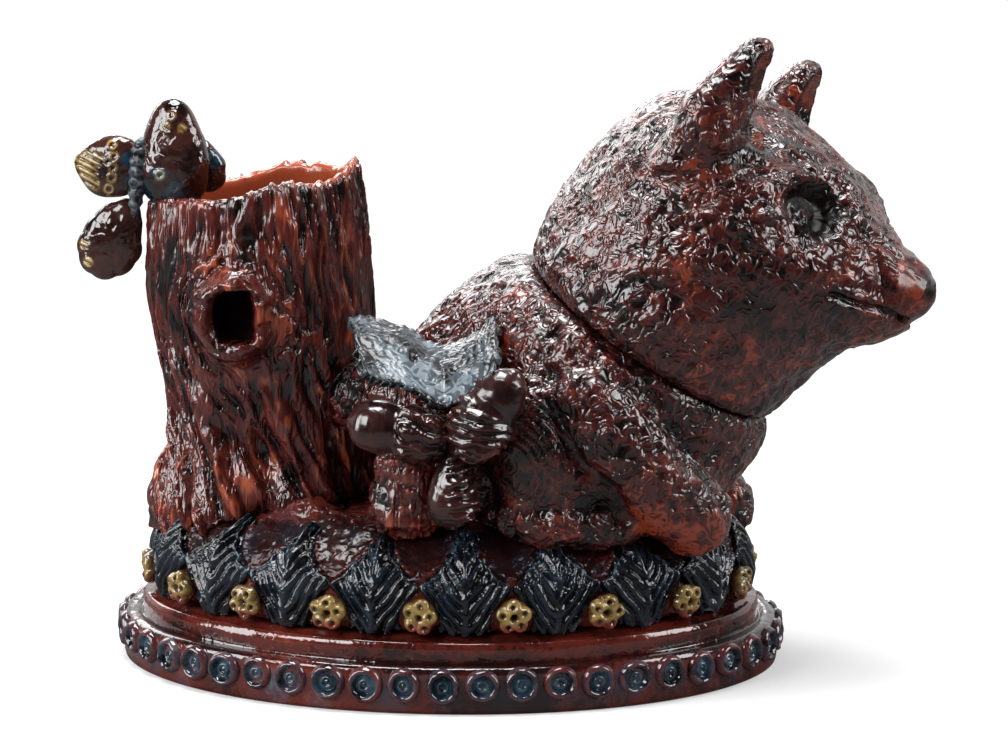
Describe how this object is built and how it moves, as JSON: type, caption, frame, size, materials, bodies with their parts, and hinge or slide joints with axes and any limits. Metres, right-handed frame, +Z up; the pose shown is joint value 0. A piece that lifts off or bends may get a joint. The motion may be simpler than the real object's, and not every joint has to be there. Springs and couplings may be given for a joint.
{
  "type": "figural cookie jar",
  "caption": "Glazed redware jar: a bear lies beside a hollow tree stump on a leafy oval plinth; its hollow body holds biscuits and the bear's head lifts off as the lid.",
  "frame": {"origin": "middle of the plinth's flat underside", "axes": "+Z up, +X along the plinth's long axis towards the bear's nose, -Y the shown side"},
  "size_m": [0.33, 0.192, 0.2442],
  "materials": {
    "bear_glaze": "glossy oxblood lead glaze, black in the hollows and orange-red where it is thin",
    "bark_glaze": "glossy dark red-brown lead glaze over combed bark",
    "clay_glaze": "glossy reddish brown lead glaze",
    "leaf_glaze": "glossy blue-black glaze with blue streaks",
    "slate_glaze": "glossy blue-grey glaze",
    "gold_glaze": "glossy yellow-brown glaze",
    "nut_glaze": "very glossy black-brown glaze",
    "nose_glaze": "glossy orange-brown glaze, dark at the tip",
    "wing_glaze": "glossy dark brown glaze with yellow-brown margins and blue-grey patches",
    "bare_clay": "unglazed red earthenware"
  },
  "bodies": {
    "jar": {"plinth": "clay_glaze", "mound": "clay_glaze", "mound_leaf_01": "leaf_glaze", "mound_leaf_02": "leaf_glaze", "mound_leaf_03": "leaf_glaze", "mound_leaf_04": "leaf_glaze", "mound_leaf_05": "leaf_glaze", "mound_leaf_06": "leaf_glaze", "mound_leaf_07": "leaf_glaze", "mound_leaf_08": "leaf_glaze", "mound_leaf_09": "leaf_glaze", "mound_leaf_10": "leaf_glaze", "mound_leaf_11": "leaf_glaze", "mound_leaf_12": "leaf_glaze", "mound_leaf_13": "leaf_glaze", "mound_leaf_14": "leaf_glaze", "mound_leaf_15": "leaf_glaze", "mound_leaf_16": "leaf_glaze", "mound_leaf_17": "leaf_glaze", "mound_leaf_18": "leaf_glaze", "flower_boss_01": "gold_glaze", "flower_boss_02": "gold_glaze", "flower_boss_03": "gold_glaze", "flower_boss_04": "gold_glaze", "flower_boss_05": "gold_glaze", "flower_boss_06": "gold_glaze", "flower_boss_07": "gold_glaze", "flower_boss_08": "gold_glaze", "flower_boss_09": "gold_glaze", "flower_boss_10": "gold_glaze", "flower_boss_11": "gold_glaze", "flower_boss_12": "gold_glaze", "flower_boss_13": "gold_glaze", "flower_boss_14": "gold_glaze", "flower_boss_15": "gold_glaze", "flower_boss_16": "gold_glaze", "flower_boss_17": "gold_glaze", "flower_boss_18": "gold_glaze", "stump": "bark_glaze", "knot_ring": "bark_glaze", "bear_body": "bear_glaze", "hind_leg_near": "bear_glaze", "hind_leg_far": "bear_glaze", "foreleg_near": "bear_glaze", "foreleg_far": "bear_glaze", "branch": "bark_glaze", "branch_leaf": "slate_glaze", "acorn_left": "nut_glaze", "acorn_right": "nut_glaze", "acorn_lower": "nut_glaze", "butterfly_body": "slate_glaze", "butterfly_wings_left": "wing_glaze", "butterfly_wings_right": "wing_glaze"},
    "lid": {"bear_head": "bear_glaze", "lid_collar": "bare_clay", "nose": "nose_glaze", "eye_near": "nut_glaze", "eye_far": "nut_glaze", "ear_near": "bear_glaze", "ear_far": "bear_glaze"}
  },
  "joints": [
    {"name": "lid_lift", "type": "slide", "parent": "jar", "child": "lid", "axis": [0.5446, 0, 0.8387], "range_m": [0, 0.15]}
  ]
}
